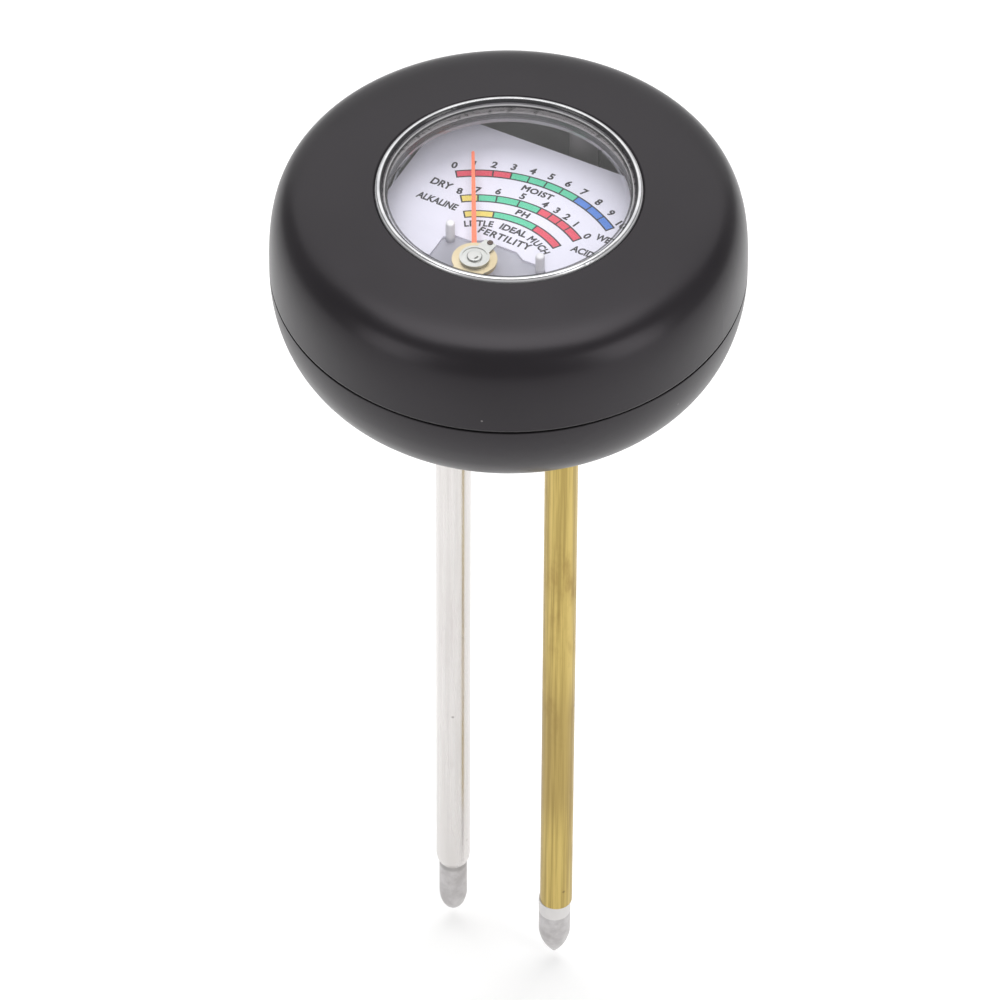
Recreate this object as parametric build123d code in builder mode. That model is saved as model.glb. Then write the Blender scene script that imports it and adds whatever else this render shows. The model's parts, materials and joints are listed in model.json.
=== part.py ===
from build123d import *

import os
from math import cos, pi, radians, sin, tan

# A round soil moisture meter: a pebble-shaped head with a moving-coil meter behind a clear
# window, standing on two tubular metal probes. Millimetres, +Z up. The origin is the centre of
# the head's flat underside, +Y is the dial's twelve o'clock and the brass probe stands at +X.

# ---- driving dimensions -------------------------------------------------------------------

HEAD_R = 77.0 / 2  # widest radius of the head
HEAD_H = 34.5  # underside to the shell's edge round the window
EQUATOR_Z = 18.9  # height of the widest section
SEAM_Z = 17.9  # parting line of the two shells
FLAT_R = 23.1  # radius of the flat underside
WALL = 2.2  # shell thickness
SEAM_BEVEL = 0.15  # the small V groove along the parting line

WINDOW_R = 21.5  # recess that holds the lens
SIGHT_R = 19.9  # clear hole under the lens
SEAT_Z = HEAD_H - 2.1  # ledge that the lens rests on
COLLAR_Z = HEAD_H - 4.1  # lower edge of the ring round the clear hole
LENS_GAP = 0.1  # radial gap between lens and recess

PIVOT_X, PIVOT_Y = -0.35, -11.15  # the pointer's axis, below the dial's centre
POINTER_REST = 28.2  # degrees from twelve o'clock towards the dry end
POINTER_L = 26.2
POINTER_Z = 26.95
ADJUSTER_REST = -10.3  # degrees from twelve o'clock, towards the wet end

DIAL_Z = 24.3  # printed face of the dial plate
DIAL_T = 0.4
DIAL_HALF_W = 22.0
DIAL_TOP_Y = 20.75
DIAL_LOW_Y = -10.0

TABLE_T = 1.6
TABLE_TOP = DIAL_Z - DIAL_T
TABLE_LOW = TABLE_TOP - TABLE_T
TABLE_HALF_W = 20.0
CUP_R = 12.2
CUP_BORE_R = 10.25
CUP_LOW = 9.2
STOP_SPOTS = ((-7.9, -5.1), (8.35, -5.2))  # the two pointer stops
STOP_R, STOP_TOP = 0.75, 27.9

YOKE_R, YOKE_BORE_R, YOKE_LOW, YOKE_TOP = 10.2, 7.9, 11.4, 20.8
CORE_R, CORE_LOW, CORE_TOP = 5.5, 12.3, 19.9
PIN_R = 0.8
CORE_MID = (CORE_LOW + CORE_TOP) / 2

BRIDGE_T = 0.4
BRIDGE_Z = 27.95  # underside of the top bridge
BRIDGE_RING_R = 3.65
LOW_BRIDGE_T = 0.5
JEWEL_R = 1.0

PROBE_X = 10.0  # each probe's distance from the head's axis
PROBE_END_Z = -129.7
PROBE_TOP_Z = 6.4
ALUMINIUM_R, BRASS_R = 2.93, 2.75
TUBE_WALL = 0.5
TIP_SHIFT = 0.25  # each tip sits a little off its tube's axis, towards the other probe
RETAINER_T = 0.6
PROBE_COLLAR_Z = 5.2

FLOOR_T = 2.4  # the lower shell's bottom
CEILING_Z = 31.6  # the upper bosses end inside the dome's wall at this height
CASE_SCREW_CIRCLE_R = 27.0
CASE_SCREW_ANGLES = (90, 210, 330)
CASE_SCREW_R, CASE_SCREW_HEAD_R, CASE_SCREW_HEAD_T = 1.1, 2.2, 1.6
CASE_BOSS_SPLIT_Z = 14.0
UPPER_BOSS_R, LOWER_BOSS_R = 2.6, 3.2
PILLAR_SPOTS = ((-17.5, 5.0), (17.5, 5.0), (0.0, 16.5))
PILLAR_R, FRAME_SCREW_R = 2.4, 0.9
PROBE_BOSS_R = 5.0
DIAL_SCREW_SPOTS = ((-18.3, -8.4), (18.3, -8.4))
DIAL_SCREW_R, DIAL_SCREW_HEAD_R, DIAL_SCREW_HEAD_T = 0.7, 1.2, 0.8
TOP_BRIDGE_SCREW_SPOTS = ((-2.2, -21.5), (2.2, -21.5))
LOW_BRIDGE_SCREW_SPOTS = ((PIVOT_X - 11.2, PIVOT_Y), (PIVOT_X + 11.2, PIVOT_Y))
BRIDGE_SCREW_R, BRIDGE_SCREW_HEAD_R, BRIDGE_SCREW_HEAD_T = 0.6, 1.1, 0.7

LEAD_R = 0.6

STANDING = (Align.CENTER, Align.CENTER, Align.MIN)
HANGING = (Align.CENTER, Align.CENTER, Align.MAX)

os.makedirs("parts", exist_ok=True)


def turned_plane(angle):
    """The plane through the pivot axis, turned anticlockwise by angle degrees."""
    turn = radians(angle)
    return Plane(origin=(PIVOT_X, PIVOT_Y, 0), x_dir=(cos(turn), sin(turn), 0), z_dir=(0, 0, 1))


PIVOT = turned_plane(0)
ARMATURE = turned_plane(POINTER_REST)
ADJUSTER = turned_plane(ADJUSTER_REST)
PROBE_SPOTS = ((-PROBE_X, 0.0), (PROBE_X, 0.0))
CASE_SCREW_SPOTS = [
    (CASE_SCREW_CIRCLE_R * cos(radians(a)), CASE_SCREW_CIRCLE_R * sin(radians(a)))
    for a in CASE_SCREW_ANGLES
]


def lifted(spots, z):
    """The plan positions, at height z."""
    return [(x, y, z) for x, y in spots]


def save(part, name):
    """Labels a finished sub-part and writes its STEP file."""
    part.label = name
    export_step(part, f"parts/{name}.step")


# ---- the head's casing --------------------------------------------------------------------

# The dome rises steeply from the equator, turns over a full shoulder and climbs gently to the
# window. The inner face follows the same curve, one wall thickness inside.
with BuildPart() as upper_shell:
    with BuildSketch(Plane.XZ):
        with BuildLine():
            outer_dome = Bezier(
                (HEAD_R, EQUATOR_Z),
                (HEAD_R, EQUATOR_Z + 0.388 * HEAD_R),
                (0.939 * HEAD_R, EQUATOR_Z + 0.36 * HEAD_R),
                (WINDOW_R + 0.3, HEAD_H),
            )
            Polyline(
                outer_dome @ 1,
                (WINDOW_R, HEAD_H - 0.3),
                (WINDOW_R, SEAT_Z),
                (SIGHT_R, SEAT_Z),
                (SIGHT_R, COLLAR_Z),
                (SIGHT_R + 2.1, COLLAR_Z),
                (SIGHT_R + 2.1, HEAD_H - 0.25 - WALL),
            )
            Bezier(
                (SIGHT_R + 2.1, HEAD_H - 0.25 - WALL),
                (0.88 * HEAD_R, EQUATOR_Z + 0.36 * HEAD_R - WALL),
                (HEAD_R - WALL, EQUATOR_Z + 0.388 * HEAD_R - WALL),
                (HEAD_R - WALL, EQUATOR_Z),
            )
            Polyline(
                (HEAD_R - WALL, EQUATOR_Z),
                (HEAD_R - WALL, SEAM_Z),
                (HEAD_R - SEAM_BEVEL, SEAM_Z),
                (HEAD_R, SEAM_Z + SEAM_BEVEL),
                (HEAD_R, EQUATOR_Z),
            )
        make_face()
    revolve(axis=Axis.Z)
    # Three bosses hang from the ceiling and take the case screws.
    with BuildSketch(Plane.XY.offset(CASE_BOSS_SPLIT_Z)):
        with Locations(*CASE_SCREW_SPOTS):
            Circle(UPPER_BOSS_R)
    extrude(amount=CEILING_Z - CASE_BOSS_SPLIT_Z)
    with BuildSketch(Plane.XY.offset(CASE_BOSS_SPLIT_Z)):
        with Locations(*CASE_SCREW_SPOTS):
            Circle(CASE_SCREW_R)
    extrude(amount=12, mode=Mode.SUBTRACT)
save(upper_shell.part, "upper_shell")

# The lower bowl closes under the seam, with a tongue that centres the upper shell.
TONGUE_R, TONGUE_BORE_R, TONGUE_TOP, TONGUE_LOW = HEAD_R - WALL - 0.2, 35.0, 20.2, 15.5
POCKET_Z = FLOOR_T + CASE_SCREW_HEAD_T  # the screw heads bear here, in pockets in the bosses
with BuildPart() as lower_shell:
    with BuildSketch(Plane.XZ):
        with BuildLine():
            Line((0, 0), (FLAT_R, 0))
            Bezier(
                (FLAT_R, 0),
                (0.96 * HEAD_R, 0),
                (HEAD_R, EQUATOR_Z - 0.163 * HEAD_R),
                (HEAD_R, SEAM_Z - SEAM_BEVEL),
            )
            Polyline(
                (HEAD_R, SEAM_Z - SEAM_BEVEL),
                (HEAD_R - SEAM_BEVEL, SEAM_Z),
                (TONGUE_R, SEAM_Z),
                (TONGUE_R, TONGUE_TOP),
                (TONGUE_BORE_R, TONGUE_TOP),
                (TONGUE_BORE_R, TONGUE_LOW),
            )
            Bezier(
                (TONGUE_BORE_R, TONGUE_LOW),
                (TONGUE_BORE_R, 11.0),
                (0.86 * HEAD_R, FLOOR_T),
                (FLAT_R - 1.1, FLOOR_T),
            )
            Polyline((FLAT_R - 1.1, FLOOR_T), (0, FLOOR_T), (0, 0))
        make_face()
    revolve(axis=Axis.Z)
    with BuildSketch(Plane.XY.offset(1)):
        with Locations(*CASE_SCREW_SPOTS):
            Circle(LOWER_BOSS_R)
    extrude(amount=CASE_BOSS_SPLIT_Z - 1)
    with BuildSketch(Plane.XY.offset(1)):
        with Locations(*PROBE_SPOTS):
            Circle(PROBE_BOSS_R)
    extrude(amount=PROBE_COLLAR_Z - 1)
    with BuildSketch(Plane.XY.offset(1)):
        with Locations(*PILLAR_SPOTS):
            Circle(PILLAR_R)
    extrude(amount=TABLE_LOW - 1)
    # Screw pockets in the underside, clearance holes, pilot holes and the two probe holes.
    with Locations(*lifted(CASE_SCREW_SPOTS, POCKET_Z)):
        Cylinder(CASE_SCREW_HEAD_R + 0.3, POCKET_Z + 1, align=HANGING, mode=Mode.SUBTRACT)
        Cylinder(
            CASE_SCREW_R + 0.25, CASE_BOSS_SPLIT_Z - POCKET_Z, align=STANDING, mode=Mode.SUBTRACT
        )
    with Locations(*lifted(PILLAR_SPOTS, TABLE_LOW)):
        Cylinder(FRAME_SCREW_R, 6, align=HANGING, mode=Mode.SUBTRACT)
    for (x, y), radius in zip(PROBE_SPOTS, (ALUMINIUM_R, BRASS_R)):
        with Locations((x, y, 0)):
            Cylinder(radius + 0.02, PROBE_COLLAR_Z, align=STANDING, mode=Mode.SUBTRACT)
save(lower_shell.part, "lower_shell")

# A clear cap: a raised rounded rim round a slightly domed face, with a short skirt below.
LENS_R = WINDOW_R - LENS_GAP
RIM_IN_R = 20.3
with BuildPart() as window_lens:
    with BuildSketch(Plane.XZ):
        with BuildLine():
            Polyline(
                (0, SEAT_Z + 0.1),
                (SIGHT_R - 1.0, SEAT_Z + 0.1),
                (SIGHT_R - 1.0, SEAT_Z - 0.9),
                (SIGHT_R - 0.15, SEAT_Z - 0.9),
                (SIGHT_R - 0.15, SEAT_Z),
                (LENS_R, SEAT_Z),
                (LENS_R, HEAD_H - 0.1),
            )
            ThreePointArc(
                (LENS_R, HEAD_H - 0.1),
                ((LENS_R + RIM_IN_R) / 2, HEAD_H + 0.4),
                (RIM_IN_R, HEAD_H - 0.05),
            )
            Line((RIM_IN_R, HEAD_H - 0.05), (RIM_IN_R - 0.6, HEAD_H - 0.55))
            TangentArc((0, HEAD_H - 0.2), (RIM_IN_R - 0.6, HEAD_H - 0.55), tangent=(1, 0))
            Line((0, HEAD_H - 0.2), (0, SEAT_Z + 0.1))
        make_face()
    revolve(axis=Axis.Z)
save(window_lens.part, "window_lens")

# Pan-head screws, driven up from the underside into the upper bosses.
with BuildPart() as case_screws:
    with Locations(*lifted(CASE_SCREW_SPOTS, FLOOR_T)):
        Cylinder(CASE_SCREW_HEAD_R, CASE_SCREW_HEAD_T, align=STANDING)
    fillet(case_screws.edges().filter_by(GeomType.CIRCLE).group_by(Axis.Z)[0], 0.6)
    with Locations(*lifted(CASE_SCREW_SPOTS, POCKET_Z)):
        Cylinder(CASE_SCREW_R, 20, align=STANDING)
    with Locations(*lifted(CASE_SCREW_SPOTS, FLOOR_T)):
        Box(2.4, 0.5, CASE_SCREW_HEAD_T, mode=Mode.SUBTRACT)
        Box(0.5, 2.4, CASE_SCREW_HEAD_T, mode=Mode.SUBTRACT)
save(case_screws.part, "case_screws")

# ---- dial plate and movement frame --------------------------------------------------------

# A flat printed plate, cut away at the bottom round the movement and the two stops.
with BuildPart() as dial_plate:
    with BuildSketch(Plane.XY.offset(TABLE_TOP)):
        with Locations((0, (DIAL_TOP_Y + DIAL_LOW_Y) / 2)):
            RectangleRounded(2 * DIAL_HALF_W, DIAL_TOP_Y - DIAL_LOW_Y, 0.8)
        with BuildLine():
            right_edge = Polyline(
                (0, -3.0), (3.0, -3.0), (4.7, -4.1), (7.6, -4.1), (9.1, -5.3), (9.1, -11), (0, -11)
            )
            mirror(right_edge, about=Plane.YZ)
        make_face(mode=Mode.SUBTRACT)
        with Locations(*DIAL_SCREW_SPOTS):
            Circle(DIAL_SCREW_R + 0.15, mode=Mode.SUBTRACT)
        with Locations(*STOP_SPOTS):
            Circle(STOP_R + 0.1, mode=Mode.SUBTRACT)
    extrude(amount=DIAL_T)
save(dial_plate.part, "dial_plate")

with BuildPart() as dial_screws:
    with Locations(*lifted(DIAL_SCREW_SPOTS, DIAL_Z)):
        Cylinder(DIAL_SCREW_HEAD_R, DIAL_SCREW_HEAD_T, align=STANDING)
    fillet(dial_screws.edges().filter_by(GeomType.CIRCLE).group_by(Axis.Z)[-1], 0.3)
    with Locations(*lifted(DIAL_SCREW_SPOTS, DIAL_Z)):
        Cylinder(DIAL_SCREW_R, DIAL_T + 1.2, align=HANGING)
    with Locations(*lifted(DIAL_SCREW_SPOTS, DIAL_Z + DIAL_SCREW_HEAD_T)):
        Box(1.7, 0.35, 0.7, mode=Mode.SUBTRACT)
save(dial_screws.part, "dial_screws")

FRAME_SCREW_HEAD_R = 2.0
# A moulded table carries the dial plate, with a cup under it for the magnet system and two
# rounded posts that stop the pointer.
with BuildPart() as movement_frame:
    with BuildSketch(Plane.XY.offset(TABLE_LOW)):
        with Locations((0, 2.75)):
            RectangleRounded(2 * TABLE_HALF_W, 33.5, 2)
        with Locations((0, -18.5)):
            RectangleRounded(18, 11, 1)
    extrude(amount=TABLE_T)
    with BuildSketch(PIVOT.offset(CUP_LOW)):
        Circle(CUP_R)
    extrude(amount=TABLE_LOW - CUP_LOW)
    with BuildSketch(PIVOT.offset(CUP_LOW)):
        Circle(CUP_BORE_R)
    extrude(amount=TABLE_LOW - CUP_LOW, mode=Mode.SUBTRACT)
    with Locations((PIVOT_X, PIVOT_Y, TABLE_LOW)):
        Cylinder(1.6, 6, mode=Mode.SUBTRACT)
    with Locations(*lifted(PILLAR_SPOTS, TABLE_TOP)):
        CounterSinkHole(FRAME_SCREW_R + 0.25, FRAME_SCREW_HEAD_R + 0.1, TABLE_T, 90)
    with Locations(*lifted(DIAL_SCREW_SPOTS, TABLE_TOP)):
        Cylinder(DIAL_SCREW_R, 1.2, align=HANGING, mode=Mode.SUBTRACT)
    with BuildSketch(Plane.XY.offset(TABLE_TOP)):
        with Locations(*STOP_SPOTS):
            Circle(STOP_R)
    extrude(amount=STOP_TOP - TABLE_TOP)
    fillet(movement_frame.edges().group_by(Axis.Z)[-1], 0.35)
    # Holes for the core's two pins, the top bridge's feet screws and the low bridge's screws.
    with Locations(Plane(origin=(PIVOT_X, PIVOT_Y, CORE_MID), z_dir=(0, 1, 0))):
        Cylinder(PIN_R, 2 * CUP_R + 1, mode=Mode.SUBTRACT)
    with Locations(*lifted(TOP_BRIDGE_SCREW_SPOTS, TABLE_TOP)):
        Cylinder(BRIDGE_SCREW_R, 1.2, align=HANGING, mode=Mode.SUBTRACT)
    with Locations(*lifted(LOW_BRIDGE_SCREW_SPOTS, CUP_LOW)):
        Cylinder(BRIDGE_SCREW_R, 3, align=STANDING, mode=Mode.SUBTRACT)
save(movement_frame.part, "movement_frame")

# Countersunk screws that hold the table on the lower shell's pillars, under the dial plate.
with BuildPart() as frame_screws:
    with Locations(*lifted(PILLAR_SPOTS, TABLE_TOP - 0.05)):
        Cone(FRAME_SCREW_HEAD_R - 0.95, FRAME_SCREW_HEAD_R, 0.95, align=HANGING)
        Cylinder(FRAME_SCREW_R, 7, align=HANGING)
    with Locations(*lifted(PILLAR_SPOTS, TABLE_TOP)):
        Box(2.2, 0.4, 1.0, mode=Mode.SUBTRACT)
        Box(0.4, 2.2, 1.0, mode=Mode.SUBTRACT)
save(frame_screws.part, "frame_screws")

# ---- magnet system ------------------------------------------------------------------------

with BuildPart() as yoke_ring:
    with BuildSketch(PIVOT.offset(YOKE_LOW)):
        Circle(YOKE_R)
        Circle(YOKE_BORE_R, mode=Mode.SUBTRACT)
    extrude(amount=YOKE_TOP - YOKE_LOW)
    with Locations(Plane(origin=(PIVOT_X, PIVOT_Y, CORE_MID), z_dir=(0, 1, 0))):
        Cylinder(PIN_R, 2 * YOKE_R + 1, mode=Mode.SUBTRACT)
save(yoke_ring.part, "yoke_ring")

PIN_INNER = 3.5
with BuildPart() as core_magnet:
    with Locations((PIVOT_X, PIVOT_Y, CORE_LOW)):
        Cylinder(CORE_R, CORE_TOP - CORE_LOW, align=STANDING)
    chamfer(core_magnet.edges().filter_by(GeomType.CIRCLE), 0.3)
    for side in (-1, 1):
        mouth = Plane(origin=(PIVOT_X, PIVOT_Y + side * PIN_INNER, CORE_MID), z_dir=(0, side, 0))
        with Locations(mouth):
            Cylinder(PIN_R, 4, align=STANDING, mode=Mode.SUBTRACT)
save(core_magnet.part, "core_magnet")

with BuildPart() as core_pins:
    for side in (-1, 1):
        mouth = Plane(origin=(PIVOT_X, PIVOT_Y + side * PIN_INNER, CORE_MID), z_dir=(0, side, 0))
        with Locations(mouth):
            Cylinder(PIN_R, CUP_R - PIN_INNER - 0.1, align=STANDING)
save(core_pins.part, "core_pins")

# ---- bridges and jewels -------------------------------------------------------------------

# The top bridge stands on two screws behind the pivot, steps up over the pointer's tail and
# ends in a ring that holds the upper jewel screw.
BRIDGE_FOOT_Y, BRIDGE_RISE_Y, BRIDGE_HALF_W = -23.5, -17.9, 2.5
with BuildPart() as top_bridge:
    with BuildSketch(Plane.YZ):
        with BuildLine():
            Polyline(
                (BRIDGE_FOOT_Y, TABLE_TOP),
                (BRIDGE_RISE_Y, TABLE_TOP),
                (BRIDGE_RISE_Y, BRIDGE_Z),
                (PIVOT_Y, BRIDGE_Z),
                (PIVOT_Y, BRIDGE_Z + BRIDGE_T),
                (BRIDGE_RISE_Y - BRIDGE_T, BRIDGE_Z + BRIDGE_T),
                (BRIDGE_RISE_Y - BRIDGE_T, TABLE_TOP + BRIDGE_T),
                (BRIDGE_FOOT_Y, TABLE_TOP + BRIDGE_T),
                close=True,
            )
        make_face()
    extrude(amount=BRIDGE_HALF_W, both=True)
    with BuildSketch(PIVOT.offset(BRIDGE_Z)):
        Circle(BRIDGE_RING_R)
    extrude(amount=BRIDGE_T)
    with BuildSketch(Plane.XY.offset(TABLE_TOP)):
        with Locations((0, -20.9)):
            Rectangle(8.0, 5.2)
        with Locations((4.5, -20.75)):
            Rectangle(2.0, 1.5)
    extrude(amount=BRIDGE_T)
    with Locations((PIVOT_X, PIVOT_Y, BRIDGE_Z)):
        Cylinder(JEWEL_R, 2, mode=Mode.SUBTRACT)
    with Locations(*lifted(TOP_BRIDGE_SCREW_SPOTS, TABLE_TOP)):
        Cylinder(BRIDGE_SCREW_R + 0.05, 2, mode=Mode.SUBTRACT)
save(top_bridge.part, "top_bridge")

LOW_BRIDGE_Z = CUP_LOW - LOW_BRIDGE_T
with BuildPart() as bottom_bridge:
    with BuildSketch(PIVOT.offset(LOW_BRIDGE_Z)):
        Rectangle(24, 4.4)
        Circle(3.4)
        with Locations((-13, 0)):
            Rectangle(3, 1.6)
        with Locations(*[(x - PIVOT_X, 0) for x, y in LOW_BRIDGE_SCREW_SPOTS]):
            Circle(BRIDGE_SCREW_R + 0.05, mode=Mode.SUBTRACT)
        Circle(JEWEL_R, mode=Mode.SUBTRACT)
    extrude(amount=LOW_BRIDGE_T)
save(bottom_bridge.part, "bottom_bridge")

# Four identical small screws: two hold the top bridge's foot, two hold the low bridge.
with BuildPart() as bridge_screws:
    for spots, bearing_z, head, shank, outward in (
        (TOP_BRIDGE_SCREW_SPOTS, TABLE_TOP + BRIDGE_T, STANDING, HANGING, 1),
        (LOW_BRIDGE_SCREW_SPOTS, LOW_BRIDGE_Z, HANGING, STANDING, -1),
    ):
        with Locations(*lifted(spots, bearing_z)):
            Cylinder(BRIDGE_SCREW_HEAD_R, BRIDGE_SCREW_HEAD_T, align=head)
            Cylinder(BRIDGE_SCREW_R, 1.5, align=shank)
        with Locations(*lifted(spots, bearing_z + outward * BRIDGE_SCREW_HEAD_T)):
            Box(1.6, 0.3, 0.6, mode=Mode.SUBTRACT)
save(bridge_screws.part, "bridge_screws")

# A slotted screw with a blind cup in its lower end, where the pivot turns.
ADJUSTER_LOW, ADJUSTER_TOP = BRIDGE_Z + BRIDGE_T + 0.05, BRIDGE_Z + BRIDGE_T + 0.4
JEWEL_LOW, JEWEL_HEAD_Z, JEWEL_HEAD_T = BRIDGE_Z - 0.1, ADJUSTER_TOP + 0.03, 0.3
with BuildPart() as upper_jewel_screw:
    with BuildSketch(PIVOT.offset(JEWEL_LOW)):
        Circle(JEWEL_R)
    extrude(amount=JEWEL_HEAD_Z - JEWEL_LOW)
    with BuildSketch(PIVOT.offset(JEWEL_HEAD_Z)):
        Circle(JEWEL_R + 0.25)
    extrude(amount=JEWEL_HEAD_T)
    fillet(upper_jewel_screw.edges().filter_by(GeomType.CIRCLE).group_by(Axis.Z)[-1], 0.2)
    with BuildSketch(PIVOT.offset(JEWEL_HEAD_Z + JEWEL_HEAD_T)):
        with Locations((0.5, -0.35)):
            Rectangle(0.8, 0.3, rotation=70)
    extrude(amount=-0.25, mode=Mode.SUBTRACT)
    with BuildSketch(PIVOT.offset(JEWEL_LOW)):
        Circle(0.4)
    extrude(amount=0.6, mode=Mode.SUBTRACT)
save(upper_jewel_screw.part, "upper_jewel_screw")

with BuildPart() as lower_jewel_screw:
    with BuildSketch(PIVOT.offset(LOW_BRIDGE_Z - 0.6)):
        Circle(JEWEL_R)
    extrude(amount=LOW_BRIDGE_T + 0.8)
    with BuildSketch(PIVOT.offset(LOW_BRIDGE_Z - 0.6)):
        Rectangle(2.2, 0.35)
    extrude(amount=0.3, mode=Mode.SUBTRACT)
    with BuildSketch(PIVOT.offset(LOW_BRIDGE_Z + LOW_BRIDGE_T + 0.2)):
        Circle(0.4)
    extrude(amount=-0.6, mode=Mode.SUBTRACT)
save(lower_jewel_screw.part, "lower_jewel_screw")

# A washer with a raised rim and a notched tab. It turns on the jewel screw.
WASHER_R, WASHER_RIM_W, TAB_L, STUD_R = 2.45, 0.4, 4.3, 0.5
with BuildPart() as zero_adjuster:
    with BuildSketch(ADJUSTER.offset(ADJUSTER_LOW)):
        Circle(WASHER_R)
        with BuildLine():
            Polyline((-1.3, 0), (1.3, 0), (1.1, TAB_L), (-1.1, TAB_L), close=True)
        make_face()
        with Locations((0, TAB_L - STUD_R / 2)):
            Circle(STUD_R, mode=Mode.SUBTRACT)
        Circle(JEWEL_R + 0.05, mode=Mode.SUBTRACT)
    extrude(amount=ADJUSTER_TOP - ADJUSTER_LOW)
    with BuildSketch(ADJUSTER.offset(ADJUSTER_TOP)):
        Circle(WASHER_R)
        Circle(WASHER_R - WASHER_RIM_W, mode=Mode.SUBTRACT)
    extrude(amount=0.12)
save(zero_adjuster.part, "zero_adjuster")

# The stud in the tab's notch. Its foot hangs down beside the hairspring's outer end.
STUD_LOW, STUD_HEAD_T = 27.5, ADJUSTER_TOP - ADJUSTER_LOW + 0.15
with BuildPart() as spring_stud:
    with BuildSketch(ADJUSTER.offset(ADJUSTER_LOW)):
        with Locations((0, TAB_L - STUD_R / 2)):
            Circle(STUD_R)
    extrude(amount=STUD_HEAD_T)
    fillet(spring_stud.edges().filter_by(GeomType.CIRCLE).group_by(Axis.Z)[-1], 0.1)
    with BuildSketch(ADJUSTER.offset(STUD_LOW)):
        with Locations((0, TAB_L - 0.12)):
            Circle(0.25)
    extrude(amount=ADJUSTER_LOW - STUD_LOW)
save(spring_stud.part, "spring_stud")

# ---- the turning armature -----------------------------------------------------------------

COIL_IN_W, COIL_IN_LOW, COIL_IN_TOP = 5.85, 12.0, 20.2
BOBBIN_T, BOBBIN_HALF_D, WINDING_T = 0.3, 2.2, 1.05
COIL_MID = (COIL_IN_LOW + COIL_IN_TOP) / 2
COIL_IN_H = COIL_IN_TOP - COIL_IN_LOW
WINDING_LOW = COIL_IN_LOW - BOBBIN_T - WINDING_T
WINDING_TOP = COIL_IN_TOP + BOBBIN_T + WINDING_T
COIL_FACE = Plane(origin=(PIVOT_X, PIVOT_Y, COIL_MID), x_dir=ARMATURE.x_dir, z_dir=-ARMATURE.y_dir)


def coil_ring(outset, thickness):
    """A rectangular ring round the coil's window, drawn in the open sketch."""
    grown = outset + thickness
    RectangleRounded(2 * (COIL_IN_W + grown), COIL_IN_H + 2 * grown, 0.4 + 0.5 * grown)
    RectangleRounded(2 * (COIL_IN_W + outset), COIL_IN_H + 2 * outset, 0.4, mode=Mode.SUBTRACT)


with BuildPart() as coil_bobbin:
    with BuildSketch(COIL_FACE):
        coil_ring(0, BOBBIN_T)
    extrude(amount=BOBBIN_HALF_D, both=True)
    for side in (-1, 1):
        with BuildSketch(COIL_FACE.offset(side * BOBBIN_HALF_D)):
            coil_ring(0, BOBBIN_T + 0.7)
        extrude(amount=-side * 0.2)
save(coil_bobbin.part, "coil_bobbin")

with BuildPart() as coil_winding:
    with BuildSketch(COIL_FACE):
        coil_ring(BOBBIN_T, WINDING_T)
    extrude(amount=BOBBIN_HALF_D - 0.2, both=True)
    add(coil_bobbin.part, mode=Mode.SUBTRACT)
save(coil_winding.part, "coil_winding")

# Each half-staff is a small foot glued on the winding, a shaft and a fine pivot.
STAFF_R, PIVOT_PIN_R = 0.6, 0.25
with BuildPart() as upper_staff:
    for low, top, radius in (
        (WINDING_TOP, WINDING_TOP + 0.3, 1.4),
        (WINDING_TOP + 0.3, BRIDGE_Z - 0.3, STAFF_R),
        (BRIDGE_Z - 0.3, BRIDGE_Z + 0.3, PIVOT_PIN_R),
    ):
        with BuildSketch(PIVOT.offset(low)):
            Circle(radius)
        extrude(amount=top - low)
    chamfer(upper_staff.edges().filter_by(GeomType.CIRCLE).group_by(Axis.Z)[-1], 0.15)
save(upper_staff.part, "upper_staff")

with BuildPart() as lower_staff:
    for top, low, radius in (
        (WINDING_LOW, WINDING_LOW - 0.3, 1.4),
        (WINDING_LOW - 0.3, CUP_LOW + 0.35, STAFF_R),
        (CUP_LOW + 0.35, CUP_LOW - 0.25, PIVOT_PIN_R),
    ):
        with BuildSketch(PIVOT.offset(low)):
            Circle(radius)
        extrude(amount=top - low)
    chamfer(lower_staff.edges().filter_by(GeomType.CIRCLE).group_by(Axis.Z)[0], 0.15)
save(lower_staff.part, "lower_staff")

# The pointer is a thin tapered strip with a hub, and a short tail for the weight.
POINTER_T = 0.25
TAIL_W, TAIL_L = 0.5, 5.7
with BuildPart() as pointer:
    with BuildSketch(ARMATURE.offset(POINTER_Z)):
        Circle(1.5)
        with BuildLine():
            Polyline(
                (-0.45, 0),
                (0.45, 0),
                (0.26, POINTER_L - 0.3),
                (0, POINTER_L),
                (-0.26, POINTER_L - 0.3),
                close=True,
            )
        make_face()
        with Locations((0, -TAIL_L / 2)):
            Rectangle(TAIL_W, TAIL_L)
        Circle(STAFF_R, mode=Mode.SUBTRACT)
    extrude(amount=POINTER_T)
save(pointer.part, "pointer")

# Two wire-wound weights on the tail, set apart to balance the pointer.
WEIGHT_R, WEIGHT_L = 0.55, 0.8
with BuildPart() as balance_weights:
    for reach in (TAIL_L - 1.6, TAIL_L - 0.5):
        out = -ARMATURE.y_dir
        centre = Vector(PIVOT_X, PIVOT_Y, POINTER_Z + POINTER_T / 2) + out * reach
        with Locations(Plane(origin=centre, x_dir=(0, 0, 1), z_dir=out)):
            Cylinder(WEIGHT_R, WEIGHT_L)
            Box(POINTER_T, TAIL_W, WEIGHT_L, mode=Mode.SUBTRACT)
save(balance_weights.part, "balance_weights")

SPRING_PITCH, SPRING_HALF_TURNS, SPRING_T, SPRING_H = 0.55, 9, 0.12, 0.3
COLLET_R, SPRING_START_R = 1.0, 1.3


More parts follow.
